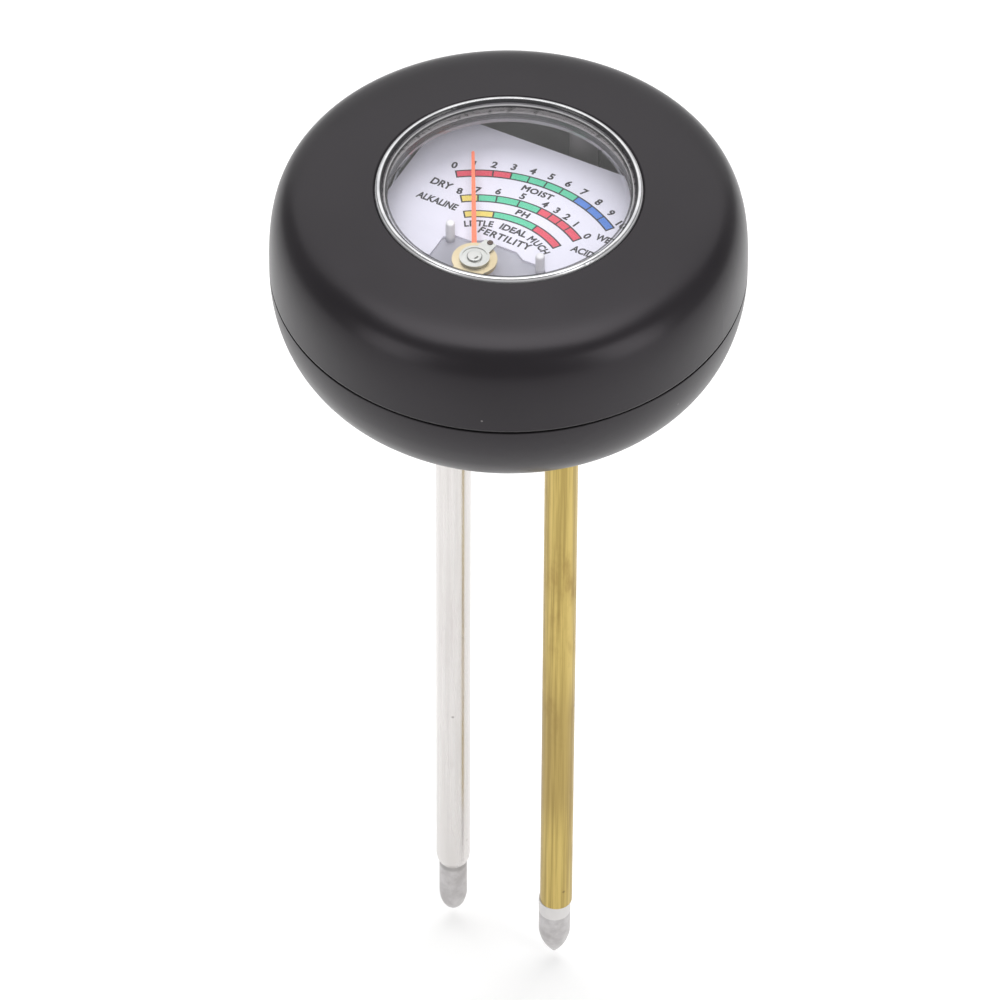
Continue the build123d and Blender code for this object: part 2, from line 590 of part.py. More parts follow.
def hairspring(plane, low):
    """A collet with a flat spiral strip, as semicircles about two centres in turn."""
    with BuildPart() as made:
        with BuildSketch(plane.offset(low)):
            with BuildLine():
                for half_turn in range(SPRING_HALF_TURNS):
                    odd = half_turn % 2
                    radius = SPRING_START_R + half_turn * SPRING_PITCH / 2
                    CenterArc((odd * SPRING_PITCH / 2, 0), radius, 180 * odd, 180)
            trace(line_width=SPRING_T)
            Circle(COLLET_R)
            with Locations(((STAFF_R + SPRING_START_R) / 2, 0)):
                Rectangle(SPRING_START_R - STAFF_R, 2 * SPRING_T)
            Circle(STAFF_R, mode=Mode.SUBTRACT)
        extrude(amount=SPRING_H)
    return made.part


save(hairspring(ARMATURE, POINTER_Z + POINTER_T + 0.18), "upper_hairspring")
save(hairspring(ARMATURE, WINDING_LOW - 0.95), "lower_hairspring")

# ---- probes -------------------------------------------------------------------------------

SEAT_T = 0.6  # thickness of each tube's turned-in upper end
RIVET_R = 1.1


def probe_tube(x, radius, bore_end):
    """A tube with its top turned in to a seat; bore_end draws the lower end's section."""
    bore = radius - TUBE_WALL
    with BuildPart() as made:
        with BuildSketch(Plane.XZ.move(Location((x, 0, 0)))):
            with BuildLine():
                Polyline(
                    *bore_end,
                    (bore, PROBE_TOP_Z - SEAT_T),
                    (RIVET_R, PROBE_TOP_Z - SEAT_T),
                    (RIVET_R, PROBE_TOP_Z),
                    (radius - 0.3, PROBE_TOP_Z),
                    (radius, PROBE_TOP_Z - 0.3),
                    close=True,
                )
            make_face()
        revolve(axis=Axis((x, 0, 0), (0, 0, 1)))
    return made.part


ROLL_L, ROLL_R = 1.8, 2.45  # the aluminium tube's end is rolled in over the tip's neck
rolled_end = (
    (ALUMINIUM_R, PROBE_END_Z + ROLL_L),
    (ALUMINIUM_R - 0.14, PROBE_END_Z + 0.8),
    (ROLL_R, PROBE_END_Z),
    (ROLL_R - TUBE_WALL, PROBE_END_Z),
    (ALUMINIUM_R - TUBE_WALL, PROBE_END_Z + ROLL_L),
)
save(probe_tube(-PROBE_X, ALUMINIUM_R, rolled_end), "aluminium_probe")

square_end = (
    (BRASS_R, PROBE_END_Z + 0.1),
    (BRASS_R - 0.1, PROBE_END_Z),
    (BRASS_R - TUBE_WALL, PROBE_END_Z),
)
save(probe_tube(PROBE_X, BRASS_R, square_end), "brass_probe")

# The aluminium probe's tip: a plug above the roll, a neck in it and a blunt bullet below.
BULLET_R, BULLET_STRAIGHT_Z, BULLET_Z = 2.39, -137.6, -141.9
NECK_R = ROLL_R - TUBE_WALL - 0.02
PLUG_TOP_Z = PROBE_END_Z + 8
with BuildPart() as aluminium_probe_tip:
    with BuildSketch(Plane.XZ.move(Location((-PROBE_X, 0, 0)))):
        with BuildLine():
            Polyline(
                (0, BULLET_Z),
                (0, PLUG_TOP_Z),
                (ALUMINIUM_R - TUBE_WALL - 0.05, PLUG_TOP_Z),
                (ALUMINIUM_R - TUBE_WALL - 0.05, PROBE_END_Z + ROLL_L + 0.15),
                (NECK_R, PROBE_END_Z + 1.3),
                (NECK_R, PROBE_END_Z),
                (BULLET_R, PROBE_END_Z),
                (BULLET_R, BULLET_STRAIGHT_Z),
            )
            Bezier(
                (BULLET_R, BULLET_STRAIGHT_Z),
                (BULLET_R, BULLET_STRAIGHT_Z - 2.2),
                (1.5, BULLET_Z),
                (0, BULLET_Z),
            )
        make_face()
    revolve(axis=Axis((-PROBE_X, 0, 0), (0, 0, 1)))
save(aluminium_probe_tip.part, "aluminium_probe_tip")

# The brass probe's tip: a plug in the tube, and a pointed ogive as wide as the tube below it.
OGIVE_R, OGIVE_BAND_Z, OGIVE_STRAIGHT_Z, OGIVE_Z = 2.7, -132.5, -137.6, -143.2
with BuildPart() as brass_probe_tip:
    with BuildSketch(Plane.XY.offset(PROBE_END_Z)):
        with Locations((PROBE_X, 0)):
            Circle(BRASS_R - TUBE_WALL - 0.05)
    extrude(amount=8)
    with BuildSketch(Plane.XZ.move(Location((PROBE_X - TIP_SHIFT, 0, 0)))):
        with BuildLine():
            Polyline(
                (0, OGIVE_Z),
                (0, PROBE_END_Z),
                (OGIVE_R + 0.04, PROBE_END_Z),
                (OGIVE_R + 0.04, OGIVE_BAND_Z),
                (OGIVE_R, OGIVE_BAND_Z - 0.15),
                (OGIVE_R, OGIVE_STRAIGHT_Z),
            )
            ThreePointArc((OGIVE_R, OGIVE_STRAIGHT_Z), (1.88, -140.5), (0.5, -142.8))
            TangentArc((0, OGIVE_Z), (0.5, -142.8), tangent=(1, 0))
        make_face()
    revolve(axis=Axis((PROBE_X - TIP_SHIFT, 0, 0), (0, 0, 1)))
save(brass_probe_tip.part, "brass_probe_tip")

# Push-on washers grip each tube above its collar.
with BuildPart() as probe_retainers:
    for (x, y), radius in zip(PROBE_SPOTS, (ALUMINIUM_R, BRASS_R)):
        with BuildSketch(Plane.XY.offset(PROBE_COLLAR_Z)):
            with Locations((x, y)):
                Circle(4.6)
                Circle(radius, mode=Mode.SUBTRACT)
        extrude(amount=RETAINER_T)
save(probe_retainers.part, "probe_retainers")

# A ring terminal on each tube's seat, held by a rivet, with its tail pointing outwards.
LUG_T, LUG_END_X = 0.5, 15.5
with BuildPart() as probe_lugs:
    for side, (x, y) in zip((-1, 1), PROBE_SPOTS):
        with BuildSketch(Plane.XY.offset(PROBE_TOP_Z)):
            with Locations((x, y)):
                Circle(2.5)
            with Locations((side * (PROBE_X + LUG_END_X) / 2, 0)):
                Rectangle(LUG_END_X - PROBE_X, 1.5)
            with Locations((x, y)):
                Circle(RIVET_R, mode=Mode.SUBTRACT)
        extrude(amount=LUG_T)
save(probe_lugs.part, "probe_lugs")

with BuildPart() as lug_rivets:
    with Locations(*lifted(PROBE_SPOTS, PROBE_TOP_Z - SEAT_T)):
        Cylinder(1.6, 0.5, align=HANGING)
        Cylinder(RIVET_R, SEAT_T + LUG_T, align=STANDING)
    with Locations(*lifted(PROBE_SPOTS, PROBE_TOP_Z + LUG_T)):
        Cylinder(1.9, 0.8, align=STANDING)
    fillet(lug_rivets.edges().filter_by(GeomType.CIRCLE).group_by(Axis.Z)[-1], 0.5)
save(lug_rivets.part, "lug_rivets")

# ---- leads from the probes to the bridges -------------------------------------------------

ALUMINIUM_ROUTE = (
    (-15.5, 0.0, 6.65),
    (-19.5, 0.0, 6.65),
    (-22.3, -3.6, 7.2),
    (-21.5, -8.4, 8.3),
    (-18.3, PIVOT_Y, 8.95),
    (PIVOT_X - 14.5, PIVOT_Y, 8.95),
)
BRASS_ROUTE = (
    (15.5, 0.0, 6.65),
    (19.6, 0.0, 6.65),
    (22.5, -3.3, 7.7),
    (21.9, -7.7, 10.5),
    (18.6, -11.7, 13.6),
    (16.2, -15.6, 17.0),
    (14.7, -18.7, 20.7),
    (12.6, -20.5, 24.0),
    (9.3, -20.75, 24.55),
    (5.5, -20.75, 24.55),
)


def lead(name, route):
    """An insulated wire along straight runs joined by arcs as large as the runs allow."""
    points = [Vector(*p) for p in route]
    radii = []
    for before, here, after in zip(points, points[1:], points[2:]):
        shorter = min((here - before).length, (after - here).length)
        half_turn = radians((here - before).get_angle(after - here)) / 2
        radii.append(0.45 * shorter / tan(half_turn))
    print(name, "radii", [round(r, 1) for r in radii])
    with BuildPart() as made:
        with BuildLine() as path:
            FilletPolyline(*points, radius=radii)
        with BuildSketch(path.line ^ 0):
            Circle(LEAD_R)
        sweep()
    length = sum(edge.length for edge in path.line.edges())
    print(name, "volume over section times length", made.part.volume / (pi * LEAD_R**2 * length))
    return made.part


save(lead("aluminium_lead", ALUMINIUM_ROUTE), "aluminium_lead")
save(lead("brass_lead", BRASS_ROUTE), "brass_lead")
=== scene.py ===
import json
import math

import bmesh
import bpy
from mathutils import Matrix, Vector


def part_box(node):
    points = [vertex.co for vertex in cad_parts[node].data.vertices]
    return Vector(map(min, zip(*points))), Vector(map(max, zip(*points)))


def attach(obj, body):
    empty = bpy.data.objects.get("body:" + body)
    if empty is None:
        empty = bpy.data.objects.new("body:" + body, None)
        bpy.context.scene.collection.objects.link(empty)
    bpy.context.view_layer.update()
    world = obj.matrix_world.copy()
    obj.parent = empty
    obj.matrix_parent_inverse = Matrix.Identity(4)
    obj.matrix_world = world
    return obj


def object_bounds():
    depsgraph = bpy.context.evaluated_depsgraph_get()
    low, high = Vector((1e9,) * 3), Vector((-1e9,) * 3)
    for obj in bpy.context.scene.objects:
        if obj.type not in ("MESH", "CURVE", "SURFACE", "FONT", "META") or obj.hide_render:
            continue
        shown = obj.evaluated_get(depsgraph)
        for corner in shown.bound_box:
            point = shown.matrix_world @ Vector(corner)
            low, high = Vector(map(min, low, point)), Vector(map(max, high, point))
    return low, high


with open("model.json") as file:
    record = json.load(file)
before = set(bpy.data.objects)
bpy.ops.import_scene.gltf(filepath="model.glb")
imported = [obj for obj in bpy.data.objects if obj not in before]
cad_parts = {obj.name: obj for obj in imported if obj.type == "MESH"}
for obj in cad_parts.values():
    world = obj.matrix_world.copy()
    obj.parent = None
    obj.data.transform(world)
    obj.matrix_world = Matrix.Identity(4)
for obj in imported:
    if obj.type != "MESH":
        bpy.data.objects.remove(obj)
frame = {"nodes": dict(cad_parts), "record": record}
bpy.context.view_layer.update()
cad_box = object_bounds()
nodes = frame["nodes"]
MM = 0.001

# ---- node helpers -------------------------------------------------------------------------


class Graph:
    """One material's node tree, with short calls for the nodes that the finishes share."""

    def __init__(self, name):
        self.material = bpy.data.materials.new(name)
        self.material.use_nodes = True
        self.tree = self.material.node_tree
        self.tree.nodes.clear()
        self.output = self.tree.nodes.new("ShaderNodeOutputMaterial")
        self.place = self.tree.nodes.new("ShaderNodeTexCoord").outputs["Object"]

    def node(self, kind, *values, out=0, **settings):
        """Adds a node, sets or links its inputs in order and returns its output."""
        made = self.tree.nodes.new("ShaderNode" + kind)
        named = settings.pop("inputs", {})
        for key, value in settings.items():
            setattr(made, key, value)
        in_order = zip(made.inputs, values)
        by_name = ((made.inputs[key], value) for key, value in named.items())
        for socket, value in (*in_order, *by_name):
            self.put(socket, value)
        return made.outputs[out]

    def put(self, socket, value):
        """Links a socket, or sets its value; a colour may leave out its alpha."""
        if isinstance(value, bpy.types.NodeSocket):
            self.tree.links.new(value, socket)
        elif value is not None:
            short = socket.type == "RGBA" and len(value) == 3
            socket.default_value = (*value, 1) if short else value

    def math(self, operation, *values):
        return self.node("Math", *values, operation=operation)

    def vector(self, operation, first, second=None, out=0):
        return self.node("VectorMath", first, second, operation=operation, out=out)

    def coordinate(self, axis):
        """The point's "X", "Y" or "Z", in metres."""
        return self.node("SeparateXYZ", self.place, out=axis)

    def noise(self, scale, detail=2.0, rough=0.5, stretch=None):
        at = self.place if stretch is None else self.vector("MULTIPLY", self.place, stretch)
        inputs = {"Vector": at, "Scale": scale, "Detail": detail, "Roughness": rough}
        return self.node("TexNoise", inputs=inputs)

    def spots(self, scale):
        """The distance to the nearest of many scattered points."""
        return self.node("TexVoronoi", inputs={"Vector": self.place, "Scale": scale}, feature="F1")

    def ramp(self, value, low, high, to_low=0.0, to_high=1.0):
        """value from low..high mapped smoothly to to_low..to_high."""
        return self.node(
            "MapRange", value, low, high, to_low, to_high, interpolation_type="SMOOTHSTEP"
        )

    def mix(self, share, first, second):
        made = self.tree.nodes.new("ShaderNodeMix")
        made.data_type = "RGBA"
        self.put(made.inputs["Factor"], share)
        for socket, value in (("A", first), ("B", second)):
            wanted = next(s for s in made.inputs if s.name == socket and s.type == "RGBA")
            self.put(wanted, value)
        return next(s for s in made.outputs if s.type == "RGBA")

    def tone(self, noise, first, second):
        """A colour that wanders between two with a noise."""
        return self.mix(self.ramp(noise, 0.3, 0.7), first, second)

    def cover(self, share, under, over):
        """One shader laid over a share of another."""
        return self.node("MixShader", share, under, over)

    def bump(self, height, strength, distance, normal=None):
        inputs = {"Strength": strength, "Distance": distance, "Height": height, "Normal": normal}
        return self.node("Bump", inputs=inputs)

    def principled(self, **inputs):
        named = {key.replace("_", " "): value for key, value in inputs.items()}
        return self.node("BsdfPrincipled", inputs=named)

    def finish(self, shader):
        self.tree.links.new(shader, self.output.inputs["Surface"])
        return self.material


# ---- finishes -----------------------------------------------------------------------------

SEAM_Z = 17.9 * MM  # parting line of the two shells
SEAM_PAINTED_SHADE = 0.1 * MM, 0.3 * MM  # painted shade in the seam's groove up to here, plain paint from here
SEAM_SHOULDER = 0.4 * MM, 0.3 * MM  # reach and depth of its rounded shoulders

# Where the shells' faces are bare moulding instead of paint.
WALL_TOP = 33.5 * MM  # inner walls lie below this, and face the axis
FACES_IN = -1.0 * MM, -3.0 * MM  # normal times distance from the axis
FLOOR_R, FLOOR_TOP = 33.5 * MM, 27.5 * MM  # inner faces inside these, if they face up
SEAT_R, SEAT_LOW = 21.45 * MM, 20.0 * MM  # the window's seat


def soft_touch():
    """Black rubbery paint outside, the bare grey moulding inside, a little dust. The seam's
    groove is painted black, as painted shade.
    """
    g = Graph("soft_touch_black")
    z = g.coordinate("Z")
    outward = g.vector("MULTIPLY", g.place, (1, 1, 0))
    r = g.vector("LENGTH", outward, out="Value")
    cloud = g.noise(60, 2, 0.5)
    patches = g.ramp(g.noise(37, 1, 0.4), 0.62, 0.67)
    dust = g.math("MULTIPLY", g.ramp(g.spots(230.0), 0.05, 0.03), patches)
    paint = g.tone(cloud, (0.0108, 0.0094, 0.0112), (0.0135, 0.0118, 0.0140))
    paint = g.mix(dust, paint, (0.16, 0.15, 0.15))
    from_seam = g.math("ABSOLUTE", g.math("SUBTRACT", z, SEAM_Z))
    # Painted shade: the paint turns black along the seam's groove.
    paint = g.mix(g.ramp(from_seam, *SEAM_PAINTED_SHADE), (0.001, 0.001, 0.001), paint)

    normal = g.node("NewGeometry", out="Normal")
    facing = g.vector("DOT_PRODUCT", normal, outward, out="Value")
    facing_up = g.vector("DOT_PRODUCT", normal, (0, 0, 1), out="Value")
    below_top = g.math("LESS_THAN", z, WALL_TOP)
    wall = g.math("MULTIPLY", g.ramp(facing, *FACES_IN), below_top)
    in_bowl = g.math(
        "MULTIPLY", g.math("LESS_THAN", r, FLOOR_R), g.math("LESS_THAN", z, FLOOR_TOP)
    )
    floor_face = g.math("MULTIPLY", g.math("GREATER_THAN", facing_up, 0.5), in_bowl)
    seat = g.math(
        "MULTIPLY", g.math("LESS_THAN", r, SEAT_R), g.math("GREATER_THAN", z, SEAT_LOW)
    )
    inside = g.math("MAXIMUM", g.math("MAXIMUM", wall, floor_face), seat)

    reach, deep = SEAM_SHOULDER
    grain = g.bump(g.noise(2600, 3, 0.6), 0.09, 0.00004)
    return g.finish(
        g.principled(
            Base_Color=g.mix(inside, paint, (0.37, 0.345, 0.355)),
            Roughness=g.ramp(cloud, 0.2, 0.8, 0.28, 0.34),
            Specular_IOR_Level=0.33,
            Specular_Tint=(1.0, 0.94, 1.0),
            Normal=g.bump(g.ramp(from_seam, 0.0, reach), 1.0, deep, normal=grain),
        )
    )


RING_SOFT = 0.06 * MM  # how softly a line in the rim begins and ends
PAST_RIM = 30.0  # mm, beyond the lens, for a ring without an outer end
RIM_FOOT = 33.8 * MM, 34.1 * MM  # the rim's side changes to its top between these heights


def clear_lens():
    """Polished clear plastic. Lamps pass straight through to the dial. The thick rim's bright and
    dark lines are painted light: dark rings are painted reflections of the black seat and
    collar, a pale ring is a painted highlight, and the rim itself is opaque pale metal and
    grey, standing in for the light the clear plastic gathers."""
    g = Graph("clear_lens")
    z = g.coordinate("Z")
    r = g.vector("LENGTH", g.vector("MULTIPLY", g.place, (1, 1, 0)), out="Value")
    seen = g.math("SUBTRACT", 1.0, g.node("LightPath", out="Is Shadow Ray"))

    def ring(inner, outer, strength):
        """A share for the surface between two radii, in mm, with soft edges."""
        inner, outer = inner * MM, outer * MM
        begun = g.ramp(r, inner - RING_SOFT, inner)
        not_over = g.ramp(r, outer + RING_SOFT, outer)
        band = g.math("MULTIPLY", begun, not_over)
        return g.math("MULTIPLY", g.math("MULTIPLY", band, strength), seen)

    gloss = g.node("BsdfGlossy", inputs={"Color": (1, 1, 1, 1), "Roughness": 0.04})
    clear = g.node("BsdfTransparent", (0.96, 0.96, 0.97, 1))
    haze = g.node("BsdfDiffuse", (0.8, 0.8, 0.8, 1))
    smear = g.ramp(g.noise(90, 3, 0.6, stretch=(1, 3, 1)), 0.35, 0.8, 0.003, 0.02)
    fresnel = g.node("Fresnel", inputs={"IOR": 1.45})
    front = g.math("SUBTRACT", 1.0, g.node("NewGeometry", out="Backfacing"))
    # Painted reflection: near black, for the black seat and collar seen in the clear rim.
    dark = g.principled(Base_Color=(0.02, 0.02, 0.022), Roughness=0.15)
    # Painted highlight: pale, for light that the clear rim gathers.
    light = g.principled(Base_Color=(0.72, 0.72, 0.73), Roughness=0.15)
    # Painted light: the clear rim's crest is opaque pale metal, for the light the clear plastic
    # gathers.
    crest = g.principled(
        Base_Color=g.tone(g.noise(260, 2, 0.5), (0.50, 0.50, 0.515), (0.66, 0.66, 0.67)),
        Metallic=1.0,
        Roughness=0.10,
        Normal=g.bump(g.noise(500, 1, 0.4), 0.12, 0.0001),
    )
    # Painted highlight: the rim's outer edge is opaque, pale and half metal.
    edge = g.principled(Base_Color=(0.70, 0.70, 0.71), Metallic=0.3, Roughness=0.2)
    # Painted light: the rim's side is opaque grey, for light seen in the clear plastic.
    side = g.principled(Base_Color=(0.42, 0.41, 0.43), Roughness=0.3)
    top = g.cover(ring(21.28, PAST_RIM, 1.0), crest, edge)
    rim = g.cover(g.ramp(z, *RIM_FOOT), side, top)

    # The window, then the painted lines and the rim, from the middle outwards.
    pane = g.cover(g.math("MULTIPLY", fresnel, front), clear, gloss)
    pane = g.cover(smear, pane, haze)
    # A painted reflection of the black collar, as a dark ring.
    pane = g.cover(ring(19.50, 19.83, 0.75), pane, dark)
    # A painted highlight, as a pale ring.
    pane = g.cover(ring(19.85, 19.98, 0.5), pane, light)
    pane = g.cover(ring(20.52, PAST_RIM, 1.0), pane, rim)
    # A painted reflection of the black seat, as a dark ring on the rim's inner side.
    return g.finish(g.cover(ring(20.22, 20.66, 0.92), pane, dark))


def plastic(name, dark, light):
    """A moulded plastic with a slight mottle and a fine moulded grain."""
    g = Graph(name)
    mottle = g.noise(150, 3, 0.6)
    return g.finish(
        g.principled(
            Base_Color=g.tone(mottle, dark, light),
            Roughness=g.ramp(mottle, 0.2, 0.8, 0.40, 0.51),
            Normal=g.bump(g.noise(2700, 2, 0.5), 0.08, 0.00003),
        )
    )


def metal(name, dark, light, roughness, grain=700.0, stretch=(1, 1, 1), depth=0.1):
    """A bare metal with a directional grain and uneven tone."""
    g = Graph(name)
    lines = g.noise(grain, 3, 0.6, stretch=stretch)
    return g.finish(
        g.principled(
            Base_Color=g.tone(g.noise(grain / 9, 2, 0.5), dark, light),
            Metallic=1.0,
            Roughness=g.ramp(lines, 0.2, 0.8, roughness - 0.07, roughness + 0.08),
            Normal=g.bump(lines, depth, 0.00003),
        )
    )


def frame_moulding():
    """Moulded table and cup, painted grey below the dial plate as painted shade under the plate,
    with paler posts above the table.
    """
    g = Graph("frame_plastic")
    mottle = g.noise(150, 3, 0.6)
    # Painted shade: below the dial plate the moulding is this darker grey, for the shade under the
    # plate.
    body = g.tone(mottle, (0.38, 0.38, 0.43), (0.45, 0.45, 0.50))
    post = g.tone(mottle, (0.80, 0.79, 0.80), (0.86, 0.85, 0.86))
    table_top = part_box("dial_plate")[0].z
    # Pale from the dial plate's underside up; below it the painted shade.
    above = g.ramp(g.coordinate("Z"), table_top, table_top + 1.5 * MM)
    return g.finish(
        g.principled(
            Base_Color=g.mix(above, body, post),
            Roughness=g.ramp(mottle, 0.2, 0.8, 0.36, 0.46),
            Normal=g.bump(g.noise(2700, 2, 0.5), 0.08, 0.00003),
        )
    )


def printed(name, colour):
    """Dial ink: a flat colour with the slight unevenness of screen printing."""
    g = Graph(name)
    patchy = g.noise(900, 3, 0.6)
    thinner = tuple(c * 0.93 for c in colour)
    return g.finish(
        g.principled(
            Base_Color=g.tone(patchy, thinner, colour),
            Roughness=g.ramp(patchy, 0.2, 0.8, 0.42, 0.52),
            Normal=g.bump(g.noise(4000, 2, 0.5), 0.05, 0.00002),
        )
    )


def dial_white():
    """White satin paint on thin sheet, with faint fibres."""
    g = Graph("dial_white")
    fibre = g.noise(1500, 4, 0.65, stretch=(1, 3, 1))
    return g.finish(
        g.principled(
            Base_Color=g.tone(fibre, (0.80, 0.79, 0.88), (0.84, 0.83, 0.92)),
            Roughness=g.ramp(fibre, 0.2, 0.8, 0.45, 0.55),
            Normal=g.bump(fibre, 0.05, 0.00003),
        )
    )


def aluminium_tube():
    """Matte drawn aluminium: pale, with drawn streaks, small pits and a few dark marks."""
    g = Graph("aluminium_tube")
    streak = g.noise(1400, 3, 0.6, stretch=(1, 1, 0.02))
    blotch = g.noise(150, 4, 0.6, stretch=(1, 1, 0.35))
    patches = g.ramp(g.noise(45, 2, 0.5), 0.52, 0.6)
    marks = g.math("MULTIPLY", g.ramp(g.spots(330.0), 0.11, 0.06), patches)
    tone = g.tone(streak, (0.66, 0.635, 0.62), (0.74, 0.715, 0.70))
    tone = g.mix(g.ramp(blotch, 0.55, 0.75, 0.0, 0.35), tone, (0.60, 0.56, 0.55))
    relief = g.math("ADD", streak, g.math("MULTIPLY", marks, -0.8))
    return g.finish(
        g.principled(
            Base_Color=g.mix(g.math("MULTIPLY", marks, 0.6), tone, (0.25, 0.22, 0.21)),
            Metallic=0.9,
            Roughness=g.ramp(streak, 0.2, 0.8, 0.22, 0.3),
            Normal=g.bump(relief, 0.12, 0.00004),
        )
    )


# The brass tube's worn stretch: it fades in going up, and fades out again further up.
WORN_IN = -114.0 * MM, -100.0 * MM
WORN_OUT = -68.0 * MM, -84.0 * MM


def brass_tube():
    """Dull drawn brass: lengthwise streaks, brown stains, dark spots and a worn stretch."""
    g = Graph("brass_tube")
    z = g.coordinate("Z")
    streak = g.noise(1500, 4, 0.65, stretch=(1, 1, 0.015))
    stain = g.noise(120, 5, 0.65, stretch=(1, 1, 0.3))
    patches = g.ramp(g.noise(60, 2, 0.5), 0.5, 0.6)
    marks = g.math("MULTIPLY", g.ramp(g.spots(260.0), 0.13, 0.05), patches)
    tone = g.mix(g.ramp(streak, 0.35, 0.65), (0.40, 0.29, 0.085), (0.62, 0.47, 0.15))
    tone = g.mix(g.ramp(stain, 0.5, 0.72, 0.0, 0.75), tone, (0.28, 0.17, 0.045))
    worn = g.math("MULTIPLY", g.ramp(z, *WORN_IN), g.ramp(z, *WORN_OUT))
    tone = g.mix(g.math("MULTIPLY", worn, 0.45), tone, (0.27, 0.18, 0.06))
    relief = g.math("ADD", streak, g.math("MULTIPLY", marks, -0.7))
    return g.finish(
        g.principled(
            Base_Color=g.mix(g.math("MULTIPLY", marks, 0.75), tone, (0.10, 0.06, 0.025)),
            Metallic=0.75,
            Roughness=g.ramp(stain, 0.4, 0.75, 0.36, 0.52),
            Normal=g.bump(relief, 0.15, 0.00004),
        )
    )


COLLAR_EDGE = -132.8 * MM, -132.5 * MM  # lower end of the pointed tip's pale collar
SHADE_EDGE = -131.1 * MM, -130.3 * MM  # lower end of the blunt tip's dark top


def milky_tip():
    """Translucent grey-white plastic, cloudy inside, scuffed by soil. The pointed tip, on
    the right, has a pale collar, and the blunt one is darker under the tube's end."""
    g = Graph("milky_tip")
    x, z = g.coordinate("X"), g.coordinate("Z")
    scuff = g.noise(1600, 3, 0.6, stretch=(1, 1, 0.25))
    collar = g.math("MULTIPLY", g.math("GREATER_THAN", x, 0.0), g.ramp(z, *COLLAR_EDGE))
    shade = g.math("MULTIPLY", g.math("LESS_THAN", x, 0.0), g.ramp(z, *SHADE_EDGE))
    tone = g.tone(g.noise(420, 3, 0.6), (0.44, 0.42, 0.42), (0.58, 0.56, 0.56))
    tone = g.mix(g.math("MULTIPLY", collar, 0.8), tone, (0.74, 0.72, 0.71))
    tone = g.mix(g.math("MULTIPLY", shade, 0.6), tone, (0.27, 0.255, 0.25))
    return g.finish(
        g.principled(
            Base_Color=tone,
            Roughness=g.ramp(scuff, 0.2, 0.8, 0.34, 0.5),
            Subsurface_Weight=0.25,
            Subsurface_Radius=(1.0, 1.0, 1.0),
            Subsurface_Scale=1.2 * MM,
            Normal=g.bump(scuff, 0.15, 0.00004),
        )
    )


# Darker and lighter tone, and roughness; the wound wire also has a grain of its own.
METALS = {
    "screw_steel": ((0.45, 0.45, 0.45), (0.62, 0.62, 0.61), 0.35),
    "yoke_steel": ((0.35, 0.35, 0.36), (0.5, 0.5, 0.5), 0.4),
    "magnet": ((0.16, 0.16, 0.17), (0.24, 0.24, 0.25), 0.5),
    "movement_brass": ((0.64, 0.53, 0.31), (0.76, 0.65, 0.43), 0.36),
    "nickel": ((0.58, 0.59, 0.55), (0.68, 0.69, 0.65), 0.33),
    "bobbin_aluminium": ((0.7, 0.7, 0.72), (0.8, 0.8, 0.8), 0.35),
    "copper_wire": ((0.55, 0.22, 0.1), (0.7, 0.32, 0.16), 0.3, 2200.0, (0.05, 0.05, 1), 0.5),
    "spring_bronze": ((0.6, 0.42, 0.18), (0.75, 0.55, 0.25), 0.3),
    "dark_bronze": ((0.07, 0.045, 0.035), (0.12, 0.08, 0.06), 0.4),
    "tinned": ((0.6, 0.6, 0.58), (0.75, 0.75, 0.72), 0.4),
}
finishes = {name: metal(name, *look) for name, look in METALS.items()} | {
    "shell_plastic": soft_touch(),
    "clear_plastic": clear_lens(),
    "dial_white": dial_white(),
    "frame_plastic": frame_moulding(),
    "pointer_orange": printed("pointer_orange", (0.98, 0.225, 0.105)),
    "probe_aluminium": aluminium_tube(),
    "probe_brass": brass_tube(),
    "tip_plastic": milky_tip(),
    "wire_red": plastic("wire_red", (0.42, 0.02, 0.015), (0.5, 0.03, 0.02)),
    "wire_black": plastic("wire_black", (0.015, 0.015, 0.015), (0.03, 0.03, 0.03)),
}

for part in frame["record"]["subparts"]:
    nodes[part["node"]].material_slots[0].material = finishes[part["material_slot"]]

# ---- the dial's print ---------------------------------------------------------------------

PLATE_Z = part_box("dial_plate")[1].z
SCALE_CENTRE = Vector((0, -11.06 * MM, 0))  # centre of the printed arcs
INK_T = 0.015 * MM
LINE = 0.13 * MM  # half a printed line's width
STROKE_GAIN = 0.08 * MM  # what the letters' strokes gain on each side
CAP_SHARE = 0.72  # a capital's height as a share of the type size
SLANT = 0.07
ARC_NARROW = 0.85  # letters on an arc are this much narrower
ADVANCE = {"I": 0.55, "M": 1.3}  # how much room a letter takes on an arc, where that isn't 1

RED, GREEN, BLUE, YELLOW, BLACK = "red", "green", "blue", "yellow", "black"
inks = {
    RED: printed("ink_red", (0.80, 0.075, 0.125)),
    GREEN: printed("ink_green", (0.11, 0.64, 0.38)),
    BLUE: printed("ink_blue", (0.085, 0.24, 0.70)),
    YELLOW: printed("ink_yellow", (0.86, 0.70, 0.15)),
    BLACK: printed("ink_black", (0.022, 0.02, 0.024)),
}
prints = {ink: bmesh.new() for ink in inks}

# Degrees clockwise from twelve.
MOIST_MARKS = [-35.5 + 7.05 * i for i in range(11)]
PH_MARKS = [-35.5, -27.0, -17.6, -6.0, 5.6, 12.3, 18.4, 24.9, 34.3]
FERTILITY_MARKS = [-35.5, -17.1, 11.7, 33.9]

# Inner and outer radius in mm, marks, and an ink for each cell between two marks.
SCALES = (
    (23.35, 24.8, MOIST_MARKS, [RED] * 3 + [GREEN] * 4 + [BLUE] * 3),
    (17.5, 19.0, PH_MARKS, [YELLOW] + [GREEN] * 3 + [RED] * 4),
    (13.9, 15.3, FERTILITY_MARKS, [YELLOW, GREEN, RED]),
)
